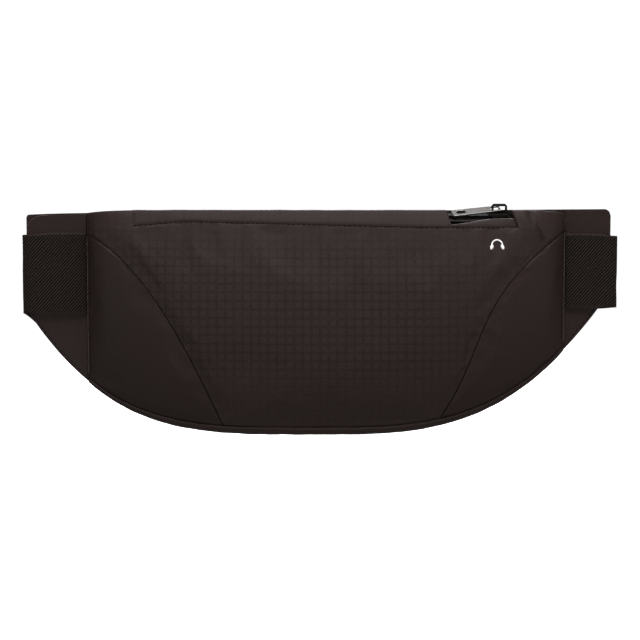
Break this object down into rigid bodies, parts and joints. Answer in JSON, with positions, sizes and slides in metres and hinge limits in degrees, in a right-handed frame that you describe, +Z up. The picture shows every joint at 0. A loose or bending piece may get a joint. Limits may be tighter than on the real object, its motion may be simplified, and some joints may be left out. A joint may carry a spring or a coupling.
{
  "type": "waist pouch belt",
  "caption": "Half-moon zipped waist pouch on a wide elastic belt that folds round its ends and closes behind with a side-release buckle.",
  "frame": {"origin": "on the flat rear face of the back pad, which lies on the wearer's waist, at the middle height of the belt", "axes": "+Z up, +X along the belt to the viewer's right, -Y out of the pouch's front"},
  "size_m": [0.3556, 0.0519, 0.1374],
  "materials": {
    "ripstop": "woven ripstop nylon, faint satin",
    "plain_cloth": "plain woven nylon, faint satin",
    "binding": "woven binding tape",
    "spacer_mesh": "knitted spacer mesh, matt",
    "elastic": "twill ribbed elastic, matt",
    "zip_tape": "woven zip tape",
    "zip_nylon": "moulded nylon",
    "dark_metal": "dark plated die-cast zinc",
    "puller_metal": "bright plated, softly polished",
    "buckle_plastic": "moulded acetal, fine texture"
  },
  "bodies": {
    "pack": {"front_panel": "ripstop", "zip_lip": "ripstop", "zip_end_tab_left": "ripstop", "zip_end_tab_right": "ripstop", "side_panel_left": "plain_cloth", "side_panel_right": "plain_cloth", "bottom_gusset": "plain_cloth", "back_panel": "plain_cloth", "wing_facing_left": "plain_cloth", "wing_facing_right": "plain_cloth", "seam_binding_left": "binding", "seam_binding_right": "binding", "back_pad": "spacer_mesh", "elastic_left": "elastic", "elastic_right": "elastic", "zip_tape_front": "zip_tape", "zip_tape_rear": "zip_tape", "zip_chain_front": "zip_nylon", "zip_chain_rear": "zip_nylon", "zip_bottom_stop": "dark_metal", "zip_top_stop_front": "dark_metal", "zip_top_stop_rear": "dark_metal", "buckle_socket": "buckle_plastic"},
    "slider": {"zip_slider": "dark_metal", "zip_slider_crown": "dark_metal"},
    "puller": {"zip_puller": "puller_metal"},
    "plug": {"buckle_plug": "buckle_plastic"},
    "arm_upper": {"buckle_arm_upper": "buckle_plastic"},
    "arm_lower": {"buckle_arm_lower": "buckle_plastic"},
    "keeper": {"strap_keeper": "buckle_plastic"}
  },
  "joints": [
    {"name": "zip_slide", "type": "slide", "parent": "pack", "child": "slider", "axis": [1, 0, 0], "range_m": [-0.186, 0], "deforming": ["zip_chain_front", "zip_chain_rear", "zip_tape_front", "zip_tape_rear"]},
    {"name": "puller_swing", "type": "hinge", "parent": "slider", "child": "puller", "pos_m": [0.106, -0.0129, 0.03842], "axis": [0, 0.9659, 0.2588], "range_deg": [0, 165]},
    {"name": "buckle_release", "type": "slide", "parent": "pack", "child": "plug", "axis": [-1, 0, 0], "range_m": [0, 0.042], "deforming": ["elastic_left", "buckle_arm_upper", "buckle_arm_lower"]},
    {"name": "arm_upper_squeeze", "type": "hinge", "parent": "plug", "child": "arm_upper", "pos_m": [-0.003, 0.0121, 0.0102], "axis": [0, 1, 0], "range_deg": [0, 8], "stiffness_Nm_per_rad": 2},
    {"name": "arm_lower_squeeze", "type": "hinge", "parent": "plug", "child": "arm_lower", "pos_m": [-0.003, 0.0121, -0.0182], "axis": [0, 1, 0], "range_deg": [-8, 0], "stiffness_Nm_per_rad": 2},
    {"name": "keeper_slide", "type": "slide", "parent": "plug", "child": "keeper", "axis": [1, 0, 0], "range_m": [-0.03, 0.012]}
  ],
  "couplings": [
    {"joint": "arm_lower_squeeze", "follows": "arm_upper_squeeze", "ratio": -1}
  ]
}
